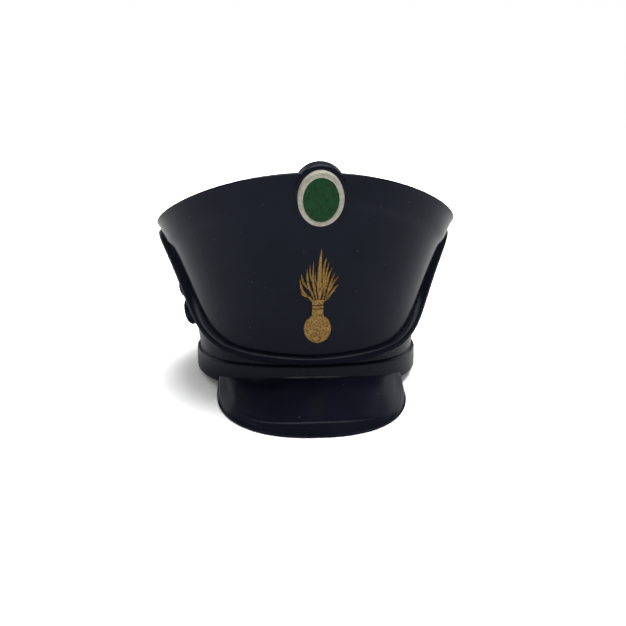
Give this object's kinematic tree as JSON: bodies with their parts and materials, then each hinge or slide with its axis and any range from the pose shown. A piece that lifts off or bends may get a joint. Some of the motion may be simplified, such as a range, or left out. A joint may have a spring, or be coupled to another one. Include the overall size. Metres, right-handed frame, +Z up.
{
  "type": "toy figure's shako",
  "caption": "Flared military hat for a toy figure, with a peak, chin strap, oval cockade and flaming grenade badge, open below for the head.",
  "frame": {"origin": "middle of the hat's own box, on the surface it stands on", "axes": "+Z up, -Y to the front of the hat, +X to the wearer's left"},
  "size_m": [0.0164, 0.0182, 0.0118],
  "materials": {
    "black_plastic": "glossy moulded black plastic",
    "white_print": "off-white print, slightly glossy",
    "green_print": "dark green print, slightly glossy",
    "gold_print": "dull gold print"
  },
  "bodies": {
    "root": {"crown": "black_plastic", "top_band": "black_plastic", "lower_band": "black_plastic", "peak": "black_plastic", "peak_rim": "black_plastic", "chin_strap": "black_plastic", "grip_tube": "black_plastic", "side_boss_right": "black_plastic", "side_knob_right": "black_plastic", "side_boss_left": "black_plastic", "side_knob_left": "black_plastic", "cockade_boss": "black_plastic", "cockade_ring": "white_print", "cockade_centre": "green_print", "grenade_badge": "gold_print"}
  },
  "joints": []
}
